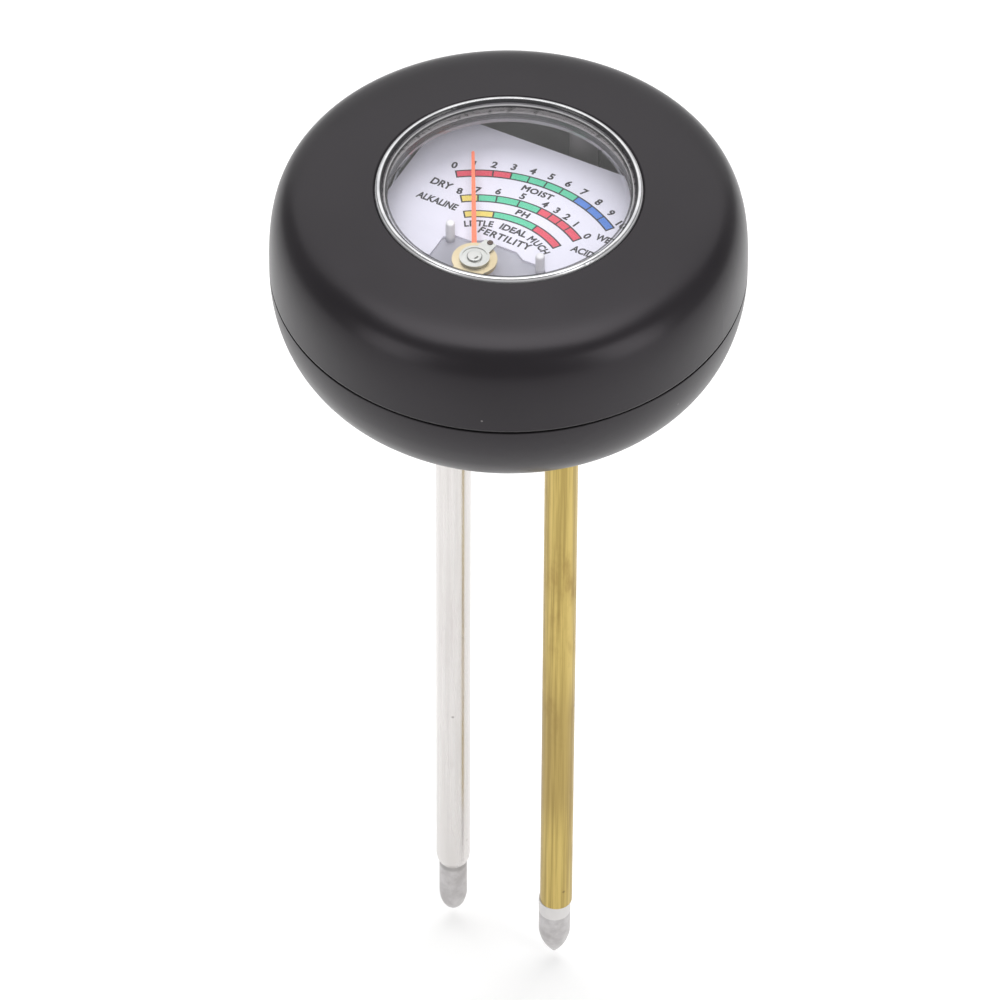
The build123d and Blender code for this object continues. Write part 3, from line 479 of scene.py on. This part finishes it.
# Numbers, marks, radius and height in mm.
NUMERALS = (
    (range(11), MOIST_MARKS, 26.2, 1.5),
    (range(8, -1, -1), PH_MARKS, 20.1, 1.45),
)
# x, y, height and width in mm, and letter spacing.
WORDS = {
    "MOIST": (-0.35, 10.8, 1.35, 5.6, 1.1),
    "PH": (-0.2, 5.3, 1.3, 2.4, 1.15),
    "DRY": (-15.0, 5.5, 1.6, 3.75, 1.0),
    "ALKALINE": (-13.8, 1.6, 1.5, 7.25, 1.0),
    "WET": (14.4, 6.2, 1.5, 3.5, 1.0),
    "ACID": (12.3, 2.0, 1.5, 4.0, 1.0),
    "IDEAL": (0.25, 1.2, 1.45, 4.7, 1.0),
    "FERTILITY": (-0.05, -1.1, 1.5, 9.4, 1.15),
}
# Radius and height in mm, and the angles where the word starts and ends.
ARC_WORDS = {
    "LITTLE": (12.4, 1.4, -37.5, -15.0),
    "MUCH": (12.4, 1.4, 14.5, 37.0),
}


def clock(angle, radius):
    """The point on the dial at that many degrees clockwise from twelve, in metres."""
    turn = math.radians(angle)
    return SCALE_CENTRE + Vector((math.sin(turn), math.cos(turn), 0)) * radius


def sector(ink, inner, outer, start, end, layer):
    """A closed slab of ink between two radii and two angles, a step to each degree."""
    mesh = prints[ink]
    low, high = PLATE_Z + layer * INK_T, PLATE_Z + (layer + 1) * INK_T
    corners = (inner, low), (outer, low), (outer, high), (inner, high)
    steps = max(2, int(abs(end - start)))
    rings = []
    for i in range(steps + 1):
        angle = start + (end - start) * i / steps
        rings.append([mesh.verts.new(clock(angle, r) + Vector((0, 0, z))) for r, z in corners])
    for a, b in zip(rings, rings[1:]):
        for k in range(4):
            mesh.faces.new((a[k], a[(k + 1) % 4], b[(k + 1) % 4], b[k]))
    mesh.faces.new(rings[0][::-1])
    mesh.faces.new(rings[-1])


def scale_band(inner, outer, marks, colours):
    """A banded arc: a black slab with the coloured cells inset on it, so its lines show."""
    edge = math.degrees(LINE / ((inner + outer) / 2))
    sector(BLACK, inner - LINE, outer + LINE, marks[0] - edge, marks[-1] + edge, 0)
    for ink, start, end in zip(colours, marks, marks[1:]):
        sector(ink, inner + LINE, outer - LINE, start + edge, end - edge, 1)


def lettering(text, spot, height, turn=0.0, width=None, spacing=1.0, narrow=1.0):
    """Adds a word or numeral to the black print, centred on a spot of the plate."""
    curve = bpy.data.curves.new("word", "FONT")
    curve.body = text
    curve.align_x, curve.align_y = "CENTER", "CENTER"
    curve.size = height / CAP_SHARE
    curve.shear = SLANT
    curve.space_character = spacing
    curve.bevel_depth = STROKE_GAIN
    curve.bevel_resolution = 0
    curve.extrude = INK_T / 2
    curve.resolution_u = 4
    word = bpy.data.objects.new("word", curve)
    bpy.context.scene.collection.objects.link(word)
    bpy.context.view_layer.update()
    mesh = bpy.data.meshes.new_from_object(word)
    xs = [v.co.x for v in mesh.vertices]
    ys = [v.co.y for v in mesh.vertices]
    size = Vector((max(xs) - min(xs), max(ys) - min(ys)))
    middle = Vector(((max(xs) + min(xs)) / 2, (max(ys) + min(ys)) / 2, 0))
    # The bevel makes the word thicker than the ink, so it is pressed flat again.
    flat = INK_T / (INK_T + 2 * STROKE_GAIN)
    across = width / size.x if width else narrow * height / size.y
    stretch = Matrix.Diagonal((across, height / size.y, flat, 1))
    swing = Matrix.Rotation(math.radians(-turn), 4, "Z")
    place = Matrix.Translation((spot[0], spot[1], PLATE_Z + INK_T / 2))
    mesh.transform(place @ swing @ stretch @ Matrix.Translation(-middle))
    prints[BLACK].from_mesh(mesh)
    bpy.data.objects.remove(word)
    bpy.data.curves.remove(curve)
    bpy.data.meshes.remove(mesh)


def arc_word(text, radius, height, start, end):
    """A word whose letters follow the arc between two angles."""
    room = [ADVANCE.get(letter, 1.0) for letter in text]
    for i, letter in enumerate(text):
        angle = start + (end - start) * (sum(room[:i]) + room[i] / 2) / sum(room)
        lettering(letter, clock(angle, radius), height, turn=angle, narrow=ARC_NARROW)


for inner, outer, marks, colours in SCALES:
    scale_band(inner * MM, outer * MM, marks, colours)
for numbers, marks, radius, height in NUMERALS:
    for number, angle in zip(numbers, marks):
        lettering(str(number), clock(angle, radius * MM), height * MM, turn=angle * 0.5)
for text, (x, y, height, width, spacing) in WORDS.items():
    lettering(text, (x * MM, y * MM), height * MM, width=width * MM, spacing=spacing)
for text, (radius, height, start, end) in ARC_WORDS.items():
    arc_word(text, radius * MM, height * MM, start, end)

for ink, mesh in prints.items():
    bmesh.ops.recalc_face_normals(mesh, faces=mesh.faces)
    data = bpy.data.meshes.new("dial_print_" + ink)
    mesh.to_mesh(data)
    mesh.free()
    data.materials.append(inks[ink])
    made = bpy.data.objects.new("dial_print_" + ink, data)
    bpy.context.scene.collection.objects.link(made)
    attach(made, "head")

# ---- floor, light and camera --------------------------------------------------------------

FLOOR_Z = cad_box[0].z - 1.0 * MM
FLOOR_HALF = 3.0
WORLD_STRENGTH = 0.4

# The camera, as fitted to the head's and the probes' outline.
AZIMUTH, DEPRESSION, ROLL = (math.radians(a) for a in (27.31, 45.6, 0.33))
FOCAL, SENSOR = 324, 36  # mm
NEAR, FAR = 0.1, 20.0
AIM = Vector((0, 0, 18.9 * MM))  # on the head's axis
DISTANCE = 1.44718
PAN_RIGHT, PAN_UP = -1.374 * MM, -38.793 * MM

LAMP_AIM = Vector((0, 0, 20.0 * MM))
# Azimuth from the camera's side, elevation, distance in metres, the half width and half
# height that the lamp covers as seen from the head, and radiance. Angles are in degrees.
STUDIO_LAMPS = {
    "overhead": (180, 82, 1.4, 24, 15, 3.2),
    "back": (180, 47, 2.2, 38, 18, 1.1),
    "low_back": (180, 13, 2.4, 38, 14, 0.5),
    "left": (-52, 19, 1.5, 12, 20, 2.2),
    "right": (55, 20, 1.5, 14, 22, 2.6),
}
# The clear rim carries light on to the dial, which these lamps stand in for.
RIM_LIGHTS = {
    "rim_light_near": (0, 58, 1.5, 14, 14, 2.6),
    "rim_light_far": (-10, 36, 1.5, 14, 14, 5.2),
}
UNDER_GLASS = ("dial_plate", "movement_frame", "pointer")  # and the dial's prints

floor_mesh = bpy.data.meshes.new("floor")
corners = (-1, -1), (1, -1), (1, 1), (-1, 1)
floor_mesh.from_pydata(
    [(x * FLOOR_HALF, y * FLOOR_HALF, FLOOR_Z) for x, y in corners], [], [(0, 1, 2, 3)]
)
floor = bpy.data.objects.new("floor", floor_mesh)
bpy.context.scene.collection.objects.link(floor)
pale = Graph("pale_floor")
floor_mesh.materials.append(
    pale.finish(
        pale.principled(
            Base_Color=pale.mix(pale.noise(4, 2, 0.5), (0.9, 0.9, 0.9), (0.93, 0.93, 0.93)),
            Roughness=0.7,
            Emission_Color=(1, 1, 1),
            Emission_Strength=0.2,
        )
    )
)


def away(azimuth, elevation):
    """The direction out from the head to an azimuth and elevation, in radians."""
    level = math.cos(elevation)
    return Vector(
        (math.sin(azimuth) * level, -math.cos(azimuth) * level, math.sin(elevation))
    )


def lamp(name, azimuth, elevation, distance, half_width, half_height, radiance):
    """A soft lamp aimed at the head, placed and sized by what it covers from there."""
    out = away(AZIMUTH + math.radians(azimuth), math.radians(elevation))
    light = bpy.data.lights.new(name, "AREA")
    light.shape = "RECTANGLE"
    light.size = 2 * distance * math.tan(math.radians(half_width))
    light.size_y = 2 * distance * math.tan(math.radians(half_height))
    light.energy = radiance * math.pi * light.size * light.size_y
    made = bpy.data.objects.new(name, light)
    bpy.context.scene.collection.objects.link(made)
    made.rotation_mode = "QUATERNION"
    made.rotation_quaternion = out.to_track_quat("Z", "Y")
    made.location = LAMP_AIM + out * distance
    return made


for name, placing in STUDIO_LAMPS.items():
    lamp(name, *placing)
under_glass = bpy.data.collections.new("under_glass")
for node in UNDER_GLASS:
    under_glass.objects.link(nodes[node])
for ink in inks:
    under_glass.objects.link(bpy.data.objects["dial_print_" + ink])
for name, placing in RIM_LIGHTS.items():
    lamp(name, *placing).light_linking.receiver_collection = under_glass

world = bpy.data.worlds.new("studio")
bpy.context.scene.world = world
world.use_nodes = True
background = world.node_tree.nodes["Background"]
background.inputs["Color"].default_value = (1, 1, 1, 1)
background.inputs["Strength"].default_value = WORLD_STRENGTH

forward = -away(AZIMUTH, DEPRESSION)
level = Vector((math.cos(AZIMUTH), math.sin(AZIMUTH), 0))
upward = level.cross(forward)
right = level * math.cos(ROLL) + upward * math.sin(ROLL)
up = upward * math.cos(ROLL) - level * math.sin(ROLL)
lens = bpy.data.cameras.new("camera")
lens.lens, lens.sensor_width = FOCAL, SENSOR
lens.clip_start, lens.clip_end = NEAR, FAR
camera = bpy.data.objects.new("camera", lens)
bpy.context.scene.collection.objects.link(camera)
stand = AIM - forward * DISTANCE + right * PAN_RIGHT + up * PAN_UP
facing = Matrix((right, up, -forward)).transposed()
camera.matrix_world = Matrix.Translation(stand) @ facing.to_4x4()
bpy.context.scene.camera = camera
bpy.context.scene.view_settings.view_transform = "Standard"

bpy.context.view_layer.update()
